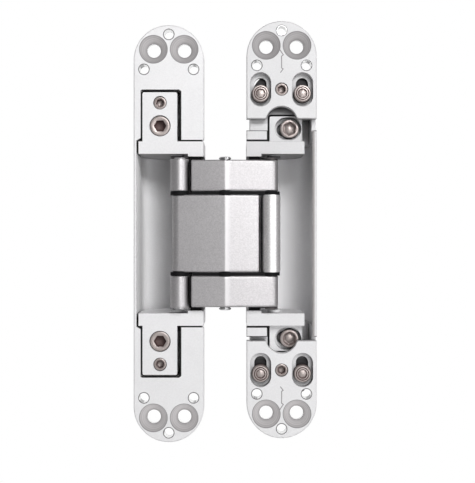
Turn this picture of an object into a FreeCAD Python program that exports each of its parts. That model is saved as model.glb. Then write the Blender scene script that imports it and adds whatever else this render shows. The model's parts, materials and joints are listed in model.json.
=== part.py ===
# Concealed door hinge, adjustable three ways, shown open at 180 degrees.
# Millimetres. X runs from the frame leaf to the door leaf, Y into the door frame, Z up.
# Shapes are drawn from the leaf's face, Y = 0, and moved forward at the end, so that the stored origin is
# the middle of the frame leaf's screw pattern on the leaf's rear face, which seats in the mortise.
import FreeCAD, Part
import math
import os

V = FreeCAD.Vector

# Leaves
LEAF_LENGTH = 190.0
LEAF_WIDTH = 32.0
LEAF_GAP = 19.4
LEAF_THICKNESS = 5.0
CLOSED_GAP = 5.0
EDGE_CHAMFER = 0.35

# Screws that fix the leaves
FIXING_SPACING = 14.0
FIXING_END = 11.1
FIXING_HOLE = 6.2
FIXING_SINK = 12.7

# Small locating holes at the leaf ends
PEG_HOLE = 4.4
PEG_END = 4.3
PEG_SIDE = 11.3
PEG_SIDE_END = 20.2

# Cast bodies behind the leaves
BODY_INSET = 19.0
BODY_TRIM = 1.8
BODY_DEPTH = 36.0
BODY_EDGE = 1.6
FRAME_WALL = 1.3
DOOR_WALL = 1.3
DOOR_RIM = 1.9
DOOR_RIM_DEPTH = 3.0
FLOOR = 2.5
CRADLE_RADIUS = 14.0
LIP_HEIGHT = 7.0
LIP_WALL = 2.2
RELIEF_DEPTH = 1.2

# Pivots, in the plan view measured from the middle of the gap
ARM_PIVOT_SIDE = 15.6
ARM_PIVOT_DEPTH = 19.0
CENTRE_RISE = 3.0
FLOAT_SIDE = 20.6
FLOAT_RISE = 1.6

# Arms and links
ARM_SHARE = 0.5758
ARM_GAP = 1.6
ARM_END_GAP = 3.3
SEPARATOR_INSET = 0.5
ROOF_RADIUS = 3.8
EYE_RADIUS = 3.4
PIVOT_EYE_RADIUS = 4.3
KNUCKLE_RADIUS = 4.3
LINK_EYE_RADIUS = 3.1
NECK_WIDTH = 6.4
NECK_BEND = 10.0
NECK_OFFSET = 0.8
FLANK_GAP = 1.0
WING_FLOOR = 4.0
ARM_UNDERSIDE = 2.4
ARM_EDGE = 0.5
LINK_END_GAP = 0.2
LINK_PROUD = 0.5

# Pins and washers
ARM_PIN_RADIUS = 2.6
PIN_RADIUS = 2.2
PIN_HEAD_RADIUS = 2.7
LINK_PIN_RADIUS = 1.8
PIN_PLAY = 0.05
PIN_PROUD = 1.2
PIN_HEAD_GAP = 0.6
CENTRE_PIN_PROUD = 1.4
PIN_RUNOUT = 0.3
PIN_COVER = 1.0
PIN_CHAMFER = 0.34
WASHER_RADIUS = 4.2
WASHER_GAP = 0.05
BUSH_RADIUS = 4.6
SPACER_RADIUS = 3.9

# Brackets
FLANGE_THICKNESS = 5.7
FLANGE_DEPTH = 26.0
BOSS_RISE = 1.2
FRAME_FLANGE_LEFT = -13.8
FRAME_FLANGE_RIGHT = 15.8
FRAME_BOSS_LEFT = 8.7
DOOR_FLANGE_LEFT = -10.4
DOOR_FLANGE_RIGHT = 16.0
DOOR_BOSS_LEFT = 9.2
FLANGE_CORNER = 5.4
SEAT_BOSS_RADIUS = 3.0
FRAME_TAB_LEFT = -12.0
FRAME_TAB_WIDTH = 15.85
FRAME_TAB_LENGTH = 28.1
FRAME_TAB_THICKNESS = 9.0
DOOR_TAB_LEFT = -9.6
DOOR_TAB_WIDTH = 14.9
DOOR_TAB_INSET = 40.8
DOOR_TAB_LENGTH = 17.9
DOOR_TAB_THICKNESS = 7.0
TAB_CORNER = 0.9

# Clearances round the brackets
POCKET_END_GAP = 0.4
TAB_SIDE_GAP = 0.6
TAB_FAR_GAP = 1.25
TAB_END_GAP = 0.8
DOOR_TAB_SIDE_GAP = 0.9
LEDGE_GAP = 0.2
SLIDE_GAP = 0.3

# Adjustments
DEPTH_TRAVEL = 1.0
SIDE_REST = 1.0
SIDE_SLOT = 3.6
HEIGHT_REST = 1.8
HEIGHT_SLOT = 6.0

# Adjusting screws of the frame leaf
DEPTH_SCREW_X = -4.0
DEPTH_SCREW_BACK = 15.3
DEPTH_HEAD_RADIUS = 4.6
DEPTH_HEAD_HEIGHT = 3.6
DEPTH_SHANK_RADIUS = 3.0
DEPTH_SCREW_LENGTH = 20.0
DEPTH_SOCKET = 5.0
LOCK_SCREW_BACK = 4.8
LOCK_SCREW_RADIUS = 3.0
LOCK_SCREW_LENGTH = 18.0
LOCK_SOCKET = 3.0
HEAD_SUNK = 0.4
HEAD_PLAY = 0.2
HEAD_CHAMFER_SHARE = 0.1
SOCKET_SHARE = 0.7
SET_CHAMFER_SHARE = 0.125
SET_SOCKET_SHARE = 0.8

# Side adjusting screws of the door leaf
SIDE_SCREW_BACK = 5.6
SIDE_HEAD_RADIUS = 4.1
SIDE_SINK_RADIUS = 5.2
SIDE_SINK_SLOT = 1.8
SIDE_SINK_X = -3.3
SIDE_WELL_DEPTH = 19.0
SIDE_HEAD_HEIGHT = 3.6
SIDE_SHANK_RADIUS = 3.0
SIDE_SCREW_LENGTH = 18.0
SIDE_SOCKET = 5.0
SIDE_HEAD_SUNK = 0.6

# Door plates
PLATE_PAST_TAB = 3.4
PLATE_NOTCH_RADIUS = 7.3
PLATE_NOTCH_DEPTH = 5.6
PLATE_NOTCH_CORNER = 0.35
SLOT_SIDE = 9.55
SLOT_BACK = 13.1
SLOT_WIDTH = 9.5
SLOT_SINK = 3.4
SLOT_THROUGH = 5.6
CLAMP_HEAD_RADIUS = 4.1
CLAMP_HEAD_HEIGHT = 3.2
CLAMP_SHANK_RADIUS = 2.5
CLAMP_SCREW_LENGTH = 14.0
CLAMP_SOCKET = 3.5
SET_SCREW_BACK = 13.2
SET_SCREW_RADIUS = 3.0
SET_SCREW_SUNK = 0.5
SET_SOCKET = 3.0

# Faces beside the pockets
BLOCK_BACK = 7.2
LEAF_CORNER = 1.5

# Thrust bushes reach forward under the flanges
BUSH_FRONT = 1.6
BUSH_LEFT = 9.8
BUSH_RIGHT = 14.9

HALF_WIDTH = LEAF_WIDTH / 2
HALF_LENGTH = LEAF_LENGTH / 2
HINGE_X = HALF_WIDTH + LEAF_GAP / 2
BODY_LENGTH = LEAF_LENGTH - 2 * BODY_INSET
DOOR_TAB_END = HALF_LENGTH - DOOR_TAB_INSET
FLANGE_START = DOOR_TAB_END - DOOR_TAB_LENGTH
BOSS_START = FLANGE_START - BOSS_RISE
OUTER_END = FLANGE_START - ARM_END_GAP
OUTER_START = OUTER_END * ARM_SHARE
CENTRE_HALF = OUTER_START - ARM_GAP
FRAME_TAB_END = FLANGE_START + FRAME_TAB_LENGTH
DEPTH_SCREW_Z = FRAME_TAB_END - DEPTH_SCREW_BACK
LOCK_SCREW_Z = FRAME_TAB_END - LOCK_SCREW_BACK
SIDE_SCREW_Z = DOOR_TAB_END - SIDE_SCREW_BACK
BLOCK_END = DOOR_TAB_END - BLOCK_BACK
PLATE_INNER = DOOR_TAB_END - PLATE_PAST_TAB
SLOT_Z = PLATE_INNER + SLOT_BACK
SET_SCREW_Z = PLATE_INNER + SET_SCREW_BACK
FLANGE_END = FLANGE_START + FLANGE_THICKNESS
POCKET_END = FLANGE_END + POCKET_END_GAP
LEDGE = LEAF_THICKNESS + LEDGE_GAP
WASHER_THICKNESS = OUTER_START - CENTRE_HALF - 2 * WASHER_GAP
BUSH_THICKNESS = BOSS_START - OUTER_END - 2 * WASHER_GAP
LINK_PIN_END = BOSS_START - PIN_RUNOUT


def box(x0, x1, y0, y1, z0, z1):
    return Part.makeBox(x1 - x0, y1 - y0, z1 - z0, V(x0, y0, z0))


def rod(x, y, z0, z1, radius):
    """A round bar along Z."""
    return Part.makeCylinder(radius, z1 - z0, V(x, y, z0))


def bore(x, z, y0, y1, radius):
    """A round bar along Y."""
    return Part.makeCylinder(radius, y1 - y0, V(x, y0, z), V(0, 1, 0))


def cone(x, z, y0, y1, radius0, radius1):
    return Part.makeCone(radius0, radius1, y1 - y0, V(x, y0, z), V(0, 1, 0))


def slot(x, z, y0, y1, radius, along_x, along_z):
    """A slot with round ends, cut along Y; its centres lie along_x or along_z apart."""
    first = bore(x - along_x / 2, z - along_z / 2, y0, y1, radius)
    last = bore(x + along_x / 2, z + along_z / 2, y0, y1, radius)
    if along_x:
        middle = box(x - along_x / 2, x + along_x / 2, y0, y1, z - radius, z + radius)
    else:
        middle = box(x - radius, x + radius, y0, y1, z - along_z / 2, z + along_z / 2)
    return first.fuse([middle, last]).removeSplitter()


def hexagon(x, z, y0, y1, across_flats):
    """A six-sided bar along Y."""
    radius = across_flats / math.sqrt(3)
    corners = []
    for step in range(7):
        angle = math.radians(60 * step)
        corners.append(V(x + radius * math.cos(angle), y0, z + radius * math.sin(angle)))
    return Part.Face(Part.makePolygon(corners)).extrude(V(0, y1 - y0, 0))


def stadium(x0, x1, length, y0, y1):
    """A plate with full round ends, thick along Y."""
    radius = (x1 - x0) / 2
    straight = length / 2 - radius
    middle = box(x0, x1, y0, y1, -straight, straight)
    top = bore(x0 + radius, straight, y0, y1, radius)
    bottom = bore(x0 + radius, -straight, y0, y1, radius)
    return middle.fuse([top, bottom]).removeSplitter()


def leaf_outline():
    return chamfer_front(stadium(-HALF_WIDTH, HALF_WIDTH, LEAF_LENGTH, 0, LEAF_THICKNESS), EDGE_CHAMFER)


def outline_face(start, steps, make):
    """A face from lines (x, y) and arcs ((x, y), (x, y)); make turns a pair into a point."""
    edges = []
    here = make(*start)
    for step in steps:
        if isinstance(step[0], tuple):
            middle = make(*step[0])
            there = make(*step[1])
            edges.append(Part.Arc(here, middle, there).toShape())
        else:
            there = make(*step)
            edges.append(Part.LineSegment(here, there).toShape())
        here = there
    return Part.Face(Part.Wire(edges))


def across(x, z):
    return V(x, 0, z)


def plan(h, u):
    """A point of the plan: h from the middle of the gap, u out of the leaf face."""
    return V(HINGE_X + h, -u, 0)


def depth(x, y):
    return V(x, y, 0)


def mirror_z(shape):
    return shape.mirror(V(0, 0, 0), V(0, 0, 1))


def to_door(shape):
    """A shape of the frame side, mirrored to the door side."""
    return shape.mirror(V(HINGE_X, 0, 0), V(1, 0, 0))


def both_ends(shape):
    return [shape, mirror_z(shape)]


def chamfer_front(shape, size):
    """Breaks the outer edges that lie in the face of a leaf, Y = 0."""
    edges = []
    for edge in shape.Edges:
        points = [vertex.Point for vertex in edge.Vertexes]
        points.append(edge.valueAt((edge.FirstParameter + edge.LastParameter) / 2))
        if all(abs(point.y) < 1e-6 for point in points):
            edges.append(edge)
    return shape.makeChamfer(size, edges)


# The linkage. The frame side is worked out, and the door side is its mirror image.
def turn(point, centre, angle):
    c = math.cos(angle)
    s = math.sin(angle)
    h = point[0] - centre[0]
    u = point[1] - centre[1]
    return (centre[0] + c * h - s * u, centre[1] + s * h + c * u)


ARM_PIVOT = (-ARM_PIVOT_SIDE, -ARM_PIVOT_DEPTH)
CENTRE = (0.0, CENTRE_RISE)
FLOAT = (-FLOAT_SIDE, FLOAT_RISE)
ARM_REACH = math.hypot(ARM_PIVOT_SIDE, ARM_PIVOT_DEPTH + CENTRE_RISE)
OPEN_ANGLE = math.atan2(CENTRE_RISE + ARM_PIVOT_DEPTH, ARM_PIVOT_SIDE)
CLOSED_ANGLE = math.pi - math.asin((ARM_PIVOT_DEPTH + CLOSED_GAP / 2) / ARM_REACH)
ARM_TURN = CLOSED_ANGLE - OPEN_ANGLE
CENTRE_CLOSED = turn(CENTRE, ARM_PIVOT, ARM_TURN)
FLOAT_SHIFTED = (FLOAT[0] + CENTRE_CLOSED[0] - CENTRE[0], FLOAT[1] + CENTRE_CLOSED[1] - CENTRE[1])
FLOAT_CLOSED = turn(FLOAT_SHIFTED, CENTRE_CLOSED, math.pi - ARM_TURN)
# The link's far pivot is half way between the floating pin's two ends of travel.
LINK_PIVOT = ((FLOAT[0] + FLOAT_CLOSED[0]) / 2, (FLOAT[1] + FLOAT_CLOSED[1]) / 2)


def pivot_xy(pivot):
    return (HINGE_X + pivot[0], -pivot[1])


def pin(pivot, z0, z1, radius):
    x, y = pivot_xy(pivot)
    return rod(x, y, z0, z1, radius)


def arm_face():
    """An outer arm's outline: roof with a crest, eye for the door's floating pin, wing and hooked neck."""
    reach = math.hypot(FLOAT_SIDE, CENTRE_RISE - FLOAT_RISE)
    lean = math.atan2(CENTRE_RISE - FLOAT_RISE, FLOAT_SIDE)
    slope = lean + math.asin((ROOF_RADIUS - EYE_RADIUS) / reach)
    flank = reach - KNUCKLE_RADIUS - FLANK_GAP
    eye = (FLOAT_SIDE, FLOAT_RISE)

    def on(centre, radius, angle):
        return (centre[0] + radius * math.cos(angle), centre[1] + radius * math.sin(angle))

    # Roof: the right slope runs from the crest to the eye, and the left one mirrors it.
    up = math.pi / 2 - slope
    crest_right = on(CENTRE, ROOF_RADIUS, up)
    crest_left = (-crest_right[0], crest_right[1])
    eye_top = on(eye, EYE_RADIUS, up)
    under_angle = math.pi - lean + math.asin(ARM_UNDERSIDE / EYE_RADIUS)
    eye_under = on(eye, EYE_RADIUS, under_angle)
    eye_far = on(eye, EYE_RADIUS, (up + under_angle - 2 * math.pi) / 2)
    # The neck turns from straight down to straight left about this centre.
    neck_right = NECK_OFFSET + NECK_WIDTH / 2
    neck_left = NECK_OFFSET - NECK_WIDTH / 2
    under_end = (neck_right, eye_under[1] + (eye_under[0] - neck_right) * math.tan(lean))
    bend = (NECK_OFFSET - NECK_BEND, -ARM_PIVOT_DEPTH + NECK_BEND)
    outer = NECK_BEND + NECK_WIDTH / 2
    inner = NECK_BEND - NECK_WIDTH / 2
    # The eye of the arm's own pivot, which the neck runs into.
    into = math.asin(NECK_WIDTH / 2 / PIVOT_EYE_RADIUS)
    own_low = on(ARM_PIVOT, PIVOT_EYE_RADIUS, -into)
    own_far = on(ARM_PIVOT, PIVOT_EYE_RADIUS, math.pi)
    own_high = on(ARM_PIVOT, PIVOT_EYE_RADIUS, into)
    # The wing's flank keeps clear of the knuckle, on an arc about the centre pin.
    tip_angle = math.pi + slope - math.asin(ROOF_RADIUS / flank)
    low_angle = math.pi + math.asin((CENTRE_RISE + WING_FLOOR) / flank)
    wing_low = on(CENTRE, flank, low_angle)
    steps = [
        eye_top, (eye_far, eye_under), under_end, (neck_right, bend[1]),
        (on(bend, outer, -math.pi / 4), on(bend, outer, -math.pi / 2)), own_low, (own_far, own_high),
        on(bend, inner, -math.pi / 2), (on(bend, inner, -math.pi / 4), (neck_left, bend[1])),
        (neck_left, wing_low[1]), wing_low,
        (on(CENTRE, flank, (tip_angle + low_angle) / 2), on(CENTRE, flank, tip_angle)),
        crest_left, ((0.0, CENTRE_RISE + ROOF_RADIUS), crest_right),
    ]
    return outline_face(crest_right, steps, plan)


def arm_solid(z0, z1):
    solid = arm_face().extrude(V(0, 0, z1 - z0))
    solid.translate(V(0, 0, z0))
    return solid


def drilled(solid, pivots, z0, z1, radius):
    for pivot in pivots:
        solid = solid.cut(pin(pivot, z0 - 1, z1 + 1, radius))
    return solid


def break_ends(solid, z0, z1, size):
    """Chamfers the long outer edges of an arm's two flat ends."""
    edges = []
    for edge in solid.Edges:
        low = edge.BoundBox.ZMin
        high = edge.BoundBox.ZMax
        flat = high - low < 1e-6 and (abs(low - z0) < 1e-6 or abs(low - z1) < 1e-6)
        if flat and edge.Length > 6 * size and not edge.isClosed():
            edges.append(edge)
    return solid.makeChamfer(size, edges)


def outer_arm():
    solid = break_ends(arm_solid(OUTER_START, OUTER_END), OUTER_START, OUTER_END, ARM_EDGE)
    door_float = (FLOAT_SIDE, FLOAT_RISE)
    solid = drilled(solid, [ARM_PIVOT], OUTER_START, OUTER_END, ARM_PIN_RADIUS + PIN_PLAY)
    return drilled(solid, [CENTRE, door_float], OUTER_START, OUTER_END, PIN_RADIUS)


def centre_arm():
    solid = break_ends(arm_solid(-CENTRE_HALF, CENTRE_HALF), -CENTRE_HALF, CENTRE_HALF, ARM_EDGE)
    door_float = (FLOAT_SIDE, FLOAT_RISE)
    solid = drilled(solid, [ARM_PIVOT], -CENTRE_HALF, CENTRE_HALF, ARM_PIN_RADIUS + PIN_PLAY)
    solid = drilled(solid, [CENTRE], -CENTRE_HALF, CENTRE_HALF, PIN_RADIUS + PIN_PLAY)
    solid = drilled(solid, [door_float], -CENTRE_HALF, CENTRE_HALF, PIN_RADIUS)
    return to_door(solid)


def link_solid(z0, z1):
    """A link: a knuckle on the floating pin and a smaller eye at its far pivot."""
    away = math.atan2(LINK_PIVOT[1] - FLOAT[1], LINK_PIVOT[0] - FLOAT[0])
    length = math.hypot(LINK_PIVOT[1] - FLOAT[1], LINK_PIVOT[0] - FLOAT[0])
    lean = math.acos((KNUCKLE_RADIUS - LINK_EYE_RADIUS) / length)

    def on(centre, radius, angle):
        return (centre[0] + radius * math.cos(angle), centre[1] + radius * math.sin(angle))

    start = on(FLOAT, KNUCKLE_RADIUS, away + lean)
    steps = [
        on(LINK_PIVOT, LINK_EYE_RADIUS, away + lean),
        (on(LINK_PIVOT, LINK_EYE_RADIUS, away), on(LINK_PIVOT, LINK_EYE_RADIUS, away - lean)),
        on(FLOAT, KNUCKLE_RADIUS, away - lean),
        (on(FLOAT, KNUCKLE_RADIUS, away + math.pi), start),
    ]
    solid = outline_face(start, steps, plan).extrude(V(0, 0, z1 - z0))
    solid.translate(V(0, 0, z0))
    solid = solid.cut(pin(FLOAT, z0 - 1, z1 + 1, PIN_RADIUS + PIN_PLAY))
    return solid.cut(pin(LINK_PIVOT, z0 - 1, z1 + 1, LINK_PIN_RADIUS))


def ring(pivot, z0, z1, outer, inner):
    return pin(pivot, z0, z1, outer).cut(pin(pivot, z0 - 1, z1 + 1, inner))


def headed_pin(pivot, proud):
    """A long floating pin whose wider heads lie on the outer arms' ends."""
    half_length = OUTER_END + proud
    shank = pin(pivot, -half_length, half_length, PIN_RADIUS)
    start = OUTER_END + PIN_HEAD_GAP
    head = pin(pivot, start, half_length, PIN_HEAD_RADIUS)
    rim = [edge for edge in head.Edges if edge.isClosed() and edge.BoundBox.ZMin > half_length - 1e-6]
    head = head.makeChamfer(PIN_CHAMFER, rim)
    return shank.fuse(both_ends(head)).removeSplitter()


def pocket_section(wall):
    """The hollow between the end blocks: outer wall, cradle, floor, low inner lip."""
    left = -HALF_WIDTH + wall
    floor = BODY_DEPTH - FLOOR
    lip = BODY_DEPTH - LIP_HEIGHT
    lip_inner = HALF_WIDTH - BODY_TRIM - LIP_WALL
    half = math.sqrt(0.5)
    cradle = (left + CRADLE_RADIUS, floor - CRADLE_RADIUS)
    corner = floor - lip
    steps = [
        (left, cradle[1]),
        ((cradle[0] - CRADLE_RADIUS * half, cradle[1] + CRADLE_RADIUS * half), (cradle[0], floor)),
        (lip_inner - corner, floor),
        ((lip_inner - corner + corner * half, floor - corner + corner * half), (lip_inner, lip)),
        (HALF_WIDTH + 1, lip), (HALF_WIDTH + 1, -1), (left, -1),
    ]
    return outline_face((left, -1), steps, depth)


def pocket(wall):
    solid = pocket_section(wall).extrude(V(0, 0, 2 * POCKET_END))
    solid.translate(V(0, 0, -POCKET_END))
    return solid


def cast_body(y0):
    """The deep body behind a leaf, with its rear edges rounded."""
    body = stadium(-HALF_WIDTH, HALF_WIDTH - BODY_TRIM, BODY_LENGTH, y0, BODY_DEPTH)
    edges = [edge for edge in body.Edges if edge.BoundBox.YMin > BODY_DEPTH - 1e-6]
    return body.makeFillet(BODY_EDGE, edges)


def fixing_holes():
    """Countersunk screw holes and small peg holes of one leaf end."""
    cuts = []
    z = HALF_LENGTH - FIXING_END
    sink = (FIXING_SINK - FIXING_HOLE) / 2
    for side in (-1, 1):
        x = side * FIXING_SPACING / 2
        cuts.append(bore(x, z, -1, BODY_DEPTH + 1, FIXING_HOLE / 2))
        cuts.append(cone(x, z, 0, sink, FIXING_SINK / 2, FIXING_HOLE / 2))
        cuts.append(bore(side * PEG_SIDE, HALF_LENGTH - PEG_SIDE_END, -1, BODY_DEPTH + 1, PEG_HOLE / 2))
    cuts.append(bore(0, HALF_LENGTH - PEG_END, -1, BODY_DEPTH + 1, PEG_HOLE / 2))
    return cuts


def rounded_recess(x0, x1, z0, z1, y0, y1, radius):
    """A recess with its two far corners rounded."""
    solid = box(x0, x1, y0, y1, z0, z1)
    edges = []
    for edge in solid.Edges:
        place = edge.BoundBox
        if place.YLength > 1e-6 and place.ZMin > z1 - 1e-6:
            edges.append(edge)
    return solid.makeFillet(radius, edges)


def corner_waste(x, z, radius):
    """What rounding takes off a leaf's corner at (x, z), whose material lies to the left and above."""
    block = box(x - radius, x + 1, -1, LEAF_THICKNESS, z - 1, z + radius)
    return block.cut(bore(x - radius, z + radius, -2, LEAF_THICKNESS + 1, radius))


def frame_housing():
    solid = leaf_outline().fuse(cast_body(LEAF_THICKNESS)).removeSplitter()
    solid = solid.cut(pocket(FRAME_WALL))
    tab_left = FRAME_TAB_LEFT - TAB_SIDE_GAP
    tab_right = FRAME_TAB_LEFT + FRAME_TAB_WIDTH + TAB_FAR_GAP
    tab_top = FRAME_TAB_END + TAB_END_GAP
    floor = FRAME_TAB_THICKNESS + DEPTH_TRAVEL + SLIDE_GAP
    recess = rounded_recess(tab_left, tab_right, 0, tab_top, -1, floor, TAB_CORNER + TAB_SIDE_GAP)
    wall = -HALF_WIDTH + FRAME_WALL
    slant = outline_face((wall, 0), [(wall, POCKET_END), (tab_left + 0.01, POCKET_END + RELIEF_DEPTH),
                                     (tab_left + 0.01, 0), (wall, 0)], across).extrude(V(0, floor, 0))
    screw = bore(DEPTH_SCREW_X, DEPTH_SCREW_Z, 0, DEPTH_SCREW_LENGTH + 2 * DEPTH_TRAVEL,
                 DEPTH_SHANK_RADIUS + PIN_PLAY)
    lock = bore(DEPTH_SCREW_X, LOCK_SCREW_Z, 0, HEAD_SUNK + LOCK_SCREW_LENGTH, LOCK_SCREW_RADIUS)
    corner = corner_waste(HALF_WIDTH, POCKET_END, LEAF_CORNER)
    cuts = [recess, slant, screw, lock, corner] + fixing_holes()
    return solid.cut(cuts + [mirror_z(cut) for cut in cuts])


def flange_solid(left, right, z0, z1, rear, wall):
    """A bracket's flange in plan, with its rear corners rounded to clear the cradle."""
    half = math.sqrt(0.5)
    near = CRADLE_RADIUS - wall
    steps = [
        (right, 0), (right, rear - FLANGE_CORNER),
        ((right - FLANGE_CORNER + FLANGE_CORNER * half, rear - FLANGE_CORNER + FLANGE_CORNER * half),
         (right - FLANGE_CORNER, rear)),
        (left + near, rear),
        ((left + near - near * half, rear - near + near * half), (left, rear - near)),
        (left, 0),
    ]
    solid = outline_face((left, 0), steps, depth).extrude(V(0, 0, z1 - z0))
    solid.translate(V(0, 0, z0))
    return solid


def bracket_core(left, right, boss_left, wall):
    """Flange, boss along its inner edge, and a round seat at the link's far pivot."""
    flange = flange_solid(left, right, FLANGE_START, FLANGE_END, FLANGE_DEPTH, wall)
    boss = flange_solid(left, right, BOSS_START, FLANGE_START, FLANGE_DEPTH, wall)
    boss = boss.common(box(boss_left, right, 0, FLANGE_DEPTH, BOSS_START, FLANGE_START))
    around = pin(ARM_PIVOT, BOSS_START, FLANGE_START, BUSH_RADIUS)
    seat = pin(LINK_PIVOT, BOSS_START, FLANGE_START, SEAT_BOSS_RADIUS)
    return flange.fuse([boss, around, seat]).removeSplitter()


def frame_bracket():
    core = bracket_core(FRAME_FLANGE_LEFT, FRAME_FLANGE_RIGHT, FRAME_BOSS_LEFT, FRAME_WALL)
    tab_right = FRAME_TAB_LEFT + FRAME_TAB_WIDTH
    tab = rounded_recess(FRAME_TAB_LEFT, tab_right, FLANGE_START, FRAME_TAB_END, 0,
                         FRAME_TAB_THICKNESS, TAB_CORNER)
    solid = core.fuse(tab).removeSplitter()
    x = DEPTH_SCREW_X
    cuts = [
        bore(x, DEPTH_SCREW_Z, -1, HEAD_SUNK + DEPTH_HEAD_HEIGHT, DEPTH_HEAD_RADIUS + HEAD_PLAY),
        bore(x, DEPTH_SCREW_Z, 0, FRAME_TAB_THICKNESS + 1, DEPTH_SHANK_RADIUS),
        bore(x, LOCK_SCREW_Z, -1, FRAME_TAB_THICKNESS + 1, LOCK_SCREW_RADIUS + PIN_PLAY),
        pin(ARM_PIVOT, BOSS_START - 1, FLANGE_END - PIN_COVER, ARM_PIN_RADIUS),
    ]
    return solid.cut(cuts)


def door_bracket():
    core = bracket_core(DOOR_FLANGE_LEFT, DOOR_FLANGE_RIGHT, DOOR_BOSS_LEFT, DOOR_WALL)
    tab_right = DOOR_TAB_LEFT + DOOR_TAB_WIDTH
    tab = rounded_recess(DOOR_TAB_LEFT, tab_right, FLANGE_START, DOOR_TAB_END, LEDGE,
                         LEDGE + DOOR_TAB_THICKNESS, TAB_CORNER)
    solid = core.fuse(tab).removeSplitter()
    x = DEPTH_SCREW_X + SIDE_REST
    top = LEDGE - 1
    cuts = [
        slot(SIDE_SINK_X, SIDE_SCREW_Z, top, LEDGE + SIDE_HEAD_SUNK + SIDE_HEAD_HEIGHT,
             SIDE_SINK_RADIUS, SIDE_SINK_SLOT, 0),
        slot(x, SIDE_SCREW_Z, top, LEDGE + DOOR_TAB_THICKNESS + 1,
             SIDE_SHANK_RADIUS + PIN_PLAY, SIDE_SLOT, 0),
        pin(ARM_PIVOT, BOSS_START - 1, FLANGE_END - PIN_COVER, ARM_PIN_RADIUS),
    ]
    return to_door(solid.cut(cuts))


def door_housing():
    solid = cast_body(LEDGE)
    face = chamfer_front(box(-HALF_WIDTH, HALF_WIDTH, 0, LEDGE, -BLOCK_END, BLOCK_END), EDGE_CHAMFER)
    solid = solid.fuse(face).removeSplitter()
    left = -HALF_WIDTH + DOOR_RIM
    tab_right = DOOR_TAB_LEFT + DOOR_TAB_WIDTH + DOOR_TAB_SIDE_GAP
    tab_top = DOOR_TAB_END + TAB_END_GAP
    floor = LEDGE + DOOR_TAB_THICKNESS + SLIDE_GAP
    screw_end = LEDGE + SIDE_HEAD_SUNK + SIDE_SCREW_LENGTH
    recess = rounded_recess(left, tab_right, 0, tab_top, -1, floor, TAB_CORNER + TAB_SIDE_GAP)
    clamp_end = SLOT_SINK + CLAMP_SCREW_LENGTH
    well = box(left, DOOR_TAB_LEFT - DOOR_TAB_SIDE_GAP, 0, SIDE_WELL_DEPTH, 0, tab_top - TAB_END_GAP)
    cuts = [recess, well, bore(DEPTH_SCREW_X, SIDE_SCREW_Z, 0, screw_end, SIDE_SHANK_RADIUS)]
    rim = box(-HALF_WIDTH + DOOR_WALL, left, 0, DOOR_RIM_DEPTH, -BLOCK_END, BLOCK_END)
    for side in (-1, 1):
        cuts.append(bore(side * SLOT_SIDE, SLOT_Z, 0, clamp_end, CLAMP_SHANK_RADIUS))
    solid = solid.cut(pocket(DOOR_WALL).cut(rim))
    return to_door(solid.cut(cuts + [mirror_z(cut) for cut in cuts]))


def plate_end(sign):
    """A door plate: a leaf end with screw holes, two slots, a set screw hole and a notch."""
    leaf = leaf_outline()
    inner = PLATE_INNER
    keep = box(-HALF_WIDTH, HALF_WIDTH, -1, LEAF_THICKNESS + 1, inner, HALF_LENGTH + 1)
    solid = leaf.common(keep)
    half_chord = math.sqrt(PLATE_NOTCH_RADIUS ** 2 - (PLATE_NOTCH_RADIUS - PLATE_NOTCH_DEPTH) ** 2)
    notch = bore(0, inner + PLATE_NOTCH_DEPTH - PLATE_NOTCH_RADIUS, -1, LEAF_THICKNESS + 1, PLATE_NOTCH_RADIUS)
    flare = half_chord + PLATE_NOTCH_CORNER
    mouth = outline_face((-flare, inner - 1), [(-flare, inner), (-half_chord, inner + PLATE_NOTCH_CORNER),
                                               (half_chord, inner + PLATE_NOTCH_CORNER), (flare, inner),
                                               (flare, inner - 1), (-flare, inner - 1)], across)
    mouth = mouth.extrude(V(0, LEAF_THICKNESS + 2, 0))
    mouth.translate(V(0, -1, 0))
    cuts = [notch, mouth] + fixing_holes()
    for side in (-1, 1):
        x = side * SLOT_SIDE
        z = SLOT_Z
        cuts.append(slot(x, z, -1, SLOT_SINK, SLOT_WIDTH / 2, 0, HEIGHT_SLOT))
        cuts.append(slot(x, z, -1, LEAF_THICKNESS + 1, SLOT_THROUGH / 2, 0, HEIGHT_SLOT))
    cuts.append(bore(0, SET_SCREW_Z, -1, LEAF_THICKNESS + 1, SET_SCREW_RADIUS))
    solid = solid.cut(cuts)
    if sign < 0:
        solid = mirror_z(solid)
    solid = to_door(solid)
    solid.translate(V(0, 0, HEIGHT_REST))
    return solid


def screw(x, z, face, head_radius, head_height, shank_radius, length, socket):
    """A socket screw along Y: its head's top is at face, and length counts from there."""
    head = bore(x, z, face, face + head_height, head_radius)
    rim = [edge for edge in head.Edges if edge.isClosed() and edge.BoundBox.YMax < face + 1e-6]
    head = head.makeChamfer(head_radius * HEAD_CHAMFER_SHARE, rim)
    shank = bore(x, z, face, face + length, shank_radius)
    recess = hexagon(x, z, face - 1, face + head_height * SOCKET_SHARE, socket)
    return head.fuse(shank).removeSplitter().cut(recess)


def set_screw(x, z, face, radius, length, socket):
    body = bore(x, z, face, face + length, radius)
    rim = [edge for edge in body.Edges if edge.isClosed() and edge.BoundBox.YMax < face + 1e-6]
    body = body.makeChamfer(radius * SET_CHAMFER_SHARE, rim)
    return body.cut(hexagon(x, z, face - 1, face + socket * SET_SOCKET_SHARE, socket))


def frame_depth_screw():
    return screw(DEPTH_SCREW_X, DEPTH_SCREW_Z, HEAD_SUNK, DEPTH_HEAD_RADIUS, DEPTH_HEAD_HEIGHT,
                 DEPTH_SHANK_RADIUS, DEPTH_SCREW_LENGTH, DEPTH_SOCKET)


def frame_lock_screw():
    return set_screw(DEPTH_SCREW_X, LOCK_SCREW_Z, HEAD_SUNK, LOCK_SCREW_RADIUS, LOCK_SCREW_LENGTH, LOCK_SOCKET)


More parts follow.
